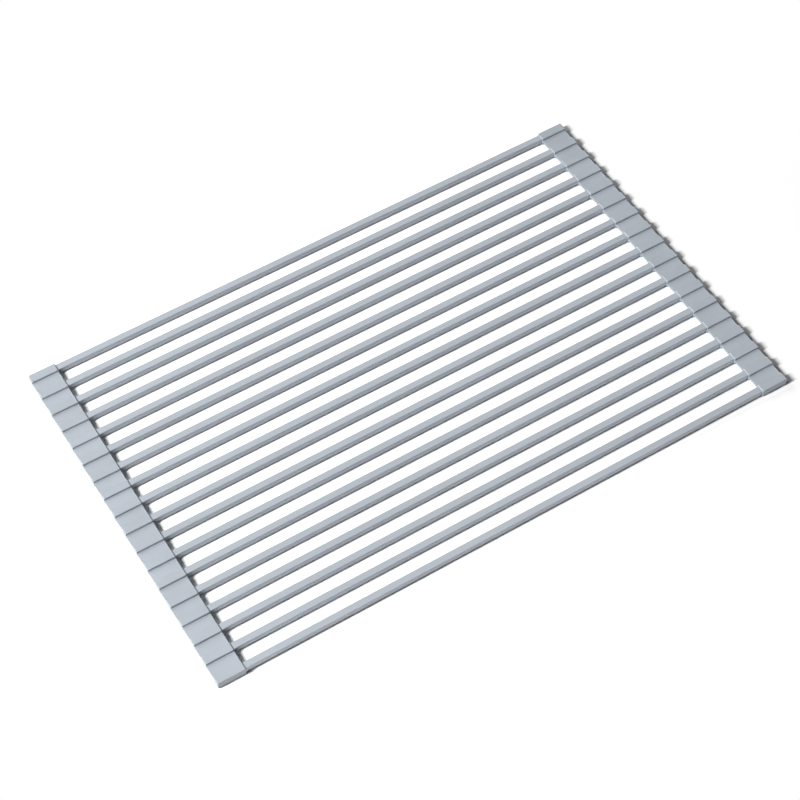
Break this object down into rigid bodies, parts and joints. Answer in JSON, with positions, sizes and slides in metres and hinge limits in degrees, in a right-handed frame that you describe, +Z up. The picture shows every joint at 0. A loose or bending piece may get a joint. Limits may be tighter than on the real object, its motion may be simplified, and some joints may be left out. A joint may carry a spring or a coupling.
{
  "type": "over-sink dish rack",
  "caption": "Roll-up over-sink dish rack: parallel grey coated square rods held at both ends by flexible silicone strips of raised sleeves and low bending webs.",
  "frame": {"origin": "centre of the rack's footprint, on the surface that it stands on", "axes": "+X along the rods to the right-hand strip, +Y away from the viewer across the rods, +Z up"},
  "size_m": [0.52, 0.3292, 0.008],
  "materials": {
    "rod_coat": "matte blue-grey silicone coat bonded to a steel tube",
    "strip_silicone": "matte blue-grey silicone"
  },
  "bodies": {
    "link_01": {"rod_01": "rod_coat", "left_strip_link_01": "strip_silicone", "right_strip_link_01": "strip_silicone"},
    "link_02": {"rod_02": "rod_coat", "left_strip_link_02": "strip_silicone", "right_strip_link_02": "strip_silicone"},
    "link_03": {"rod_03": "rod_coat", "left_strip_link_03": "strip_silicone", "right_strip_link_03": "strip_silicone"},
    "link_04": {"rod_04": "rod_coat", "left_strip_link_04": "strip_silicone", "right_strip_link_04": "strip_silicone"},
    "link_05": {"rod_05": "rod_coat", "left_strip_link_05": "strip_silicone", "right_strip_link_05": "strip_silicone"},
    "link_06": {"rod_06": "rod_coat", "left_strip_link_06": "strip_silicone", "right_strip_link_06": "strip_silicone"},
    "link_07": {"rod_07": "rod_coat", "left_strip_link_07": "strip_silicone", "right_strip_link_07": "strip_silicone"},
    "link_08": {"rod_08": "rod_coat", "left_strip_link_08": "strip_silicone", "right_strip_link_08": "strip_silicone"},
    "link_09": {"rod_09": "rod_coat", "left_strip_link_09": "strip_silicone", "right_strip_link_09": "strip_silicone"},
    "link_10": {"rod_10": "rod_coat", "left_strip_link_10": "strip_silicone", "right_strip_link_10": "strip_silicone"},
    "link_11": {"rod_11": "rod_coat", "left_strip_link_11": "strip_silicone", "right_strip_link_11": "strip_silicone"},
    "link_12": {"rod_12": "rod_coat", "left_strip_link_12": "strip_silicone", "right_strip_link_12": "strip_silicone"},
    "link_13": {"rod_13": "rod_coat", "left_strip_link_13": "strip_silicone", "right_strip_link_13": "strip_silicone"},
    "link_14": {"rod_14": "rod_coat", "left_strip_link_14": "strip_silicone", "right_strip_link_14": "strip_silicone"},
    "link_15": {"rod_15": "rod_coat", "left_strip_link_15": "strip_silicone", "right_strip_link_15": "strip_silicone"},
    "link_16": {"rod_16": "rod_coat", "left_strip_link_16": "strip_silicone", "right_strip_link_16": "strip_silicone"},
    "link_17": {"rod_17": "rod_coat", "left_strip_link_17": "strip_silicone", "right_strip_link_17": "strip_silicone"},
    "link_18": {"rod_18": "rod_coat", "left_strip_link_18": "strip_silicone", "right_strip_link_18": "strip_silicone"}
  },
  "joints": [
    {"name": "web_bend_01", "type": "hinge", "parent": "link_01", "child": "link_02", "pos_m": [0, 0.1512, 0.0048], "axis": [-1, 0, 0], "range_deg": [0, 28.2]},
    {"name": "web_bend_02", "type": "hinge", "parent": "link_02", "child": "link_03", "pos_m": [0, 0.1323, 0.0048], "axis": [-1, 0, 0], "range_deg": [0, 29]},
    {"name": "web_bend_03", "type": "hinge", "parent": "link_03", "child": "link_04", "pos_m": [0, 0.1134, 0.0048], "axis": [-1, 0, 0], "range_deg": [0, 29.7]},
    {"name": "web_bend_04", "type": "hinge", "parent": "link_04", "child": "link_05", "pos_m": [0, 0.0945, 0.0048], "axis": [-1, 0, 0], "range_deg": [0, 30.6]},
    {"name": "web_bend_05", "type": "hinge", "parent": "link_05", "child": "link_06", "pos_m": [0, 0.0756, 0.0048], "axis": [-1, 0, 0], "range_deg": [0, 31.5]},
    {"name": "web_bend_06", "type": "hinge", "parent": "link_06", "child": "link_07", "pos_m": [0, 0.0567, 0.0048], "axis": [-1, 0, 0], "range_deg": [0, 32.5]},
    {"name": "web_bend_07", "type": "hinge", "parent": "link_07", "child": "link_08", "pos_m": [0, 0.0378, 0.0048], "axis": [-1, 0, 0], "range_deg": [0, 33.6]},
    {"name": "web_bend_08", "type": "hinge", "parent": "link_08", "child": "link_09", "pos_m": [0, 0.0189, 0.0048], "axis": [-1, 0, 0], "range_deg": [0, 34.9]},
    {"name": "web_bend_09", "type": "hinge", "parent": "link_09", "child": "link_10", "pos_m": [0, 0, 0.0048], "axis": [-1, 0, 0], "range_deg": [0, 36.2]},
    {"name": "web_bend_10", "type": "hinge", "parent": "link_10", "child": "link_11", "pos_m": [0, -0.0189, 0.0048], "axis": [-1, 0, 0], "range_deg": [0, 37.8]},
    {"name": "web_bend_11", "type": "hinge", "parent": "link_11", "child": "link_12", "pos_m": [0, -0.0378, 0.0048], "axis": [-1, 0, 0], "range_deg": [0, 39.6]},
    {"name": "web_bend_12", "type": "hinge", "parent": "link_12", "child": "link_13", "pos_m": [0, -0.0567, 0.0048], "axis": [-1, 0, 0], "range_deg": [0, 41.7]},
    {"name": "web_bend_13", "type": "hinge", "parent": "link_13", "child": "link_14", "pos_m": [0, -0.0756, 0.0048], "axis": [-1, 0, 0], "range_deg": [0, 44.1]},
    {"name": "web_bend_14", "type": "hinge", "parent": "link_14", "child": "link_15", "pos_m": [0, -0.0945, 0.0048], "axis": [-1, 0, 0], "range_deg": [0, 47]},
    {"name": "web_bend_15", "type": "hinge", "parent": "link_15", "child": "link_16", "pos_m": [0, -0.1134, 0.0048], "axis": [-1, 0, 0], "range_deg": [0, 50.6]},
    {"name": "web_bend_16", "type": "hinge", "parent": "link_16", "child": "link_17", "pos_m": [0, -0.1323, 0.0048], "axis": [-1, 0, 0], "range_deg": [0, 55.1]},
    {"name": "web_bend_17", "type": "hinge", "parent": "link_17", "child": "link_18", "pos_m": [0, -0.1512, 0.0048], "axis": [-1, 0, 0], "range_deg": [0, 61.1]}
  ],
  "couplings": [
    {"joint": "web_bend_02", "follows": "web_bend_01", "ratio": 1.0284},
    {"joint": "web_bend_03", "follows": "web_bend_01", "ratio": 1.0532},
    {"joint": "web_bend_04", "follows": "web_bend_01", "ratio": 1.0851},
    {"joint": "web_bend_05", "follows": "web_bend_01", "ratio": 1.117},
    {"joint": "web_bend_06", "follows": "web_bend_01", "ratio": 1.1525},
    {"joint": "web_bend_07", "follows": "web_bend_01", "ratio": 1.1915},
    {"joint": "web_bend_08", "follows": "web_bend_01", "ratio": 1.2376},
    {"joint": "web_bend_09", "follows": "web_bend_01", "ratio": 1.2837},
    {"joint": "web_bend_10", "follows": "web_bend_01", "ratio": 1.3404},
    {"joint": "web_bend_11", "follows": "web_bend_01", "ratio": 1.4043},
    {"joint": "web_bend_12", "follows": "web_bend_01", "ratio": 1.4787},
    {"joint": "web_bend_13", "follows": "web_bend_01", "ratio": 1.5638},
    {"joint": "web_bend_14", "follows": "web_bend_01", "ratio": 1.6667},
    {"joint": "web_bend_15", "follows": "web_bend_01", "ratio": 1.7943},
    {"joint": "web_bend_16", "follows": "web_bend_01", "ratio": 1.9539},
    {"joint": "web_bend_17", "follows": "web_bend_01", "ratio": 2.1667}
  ]
}
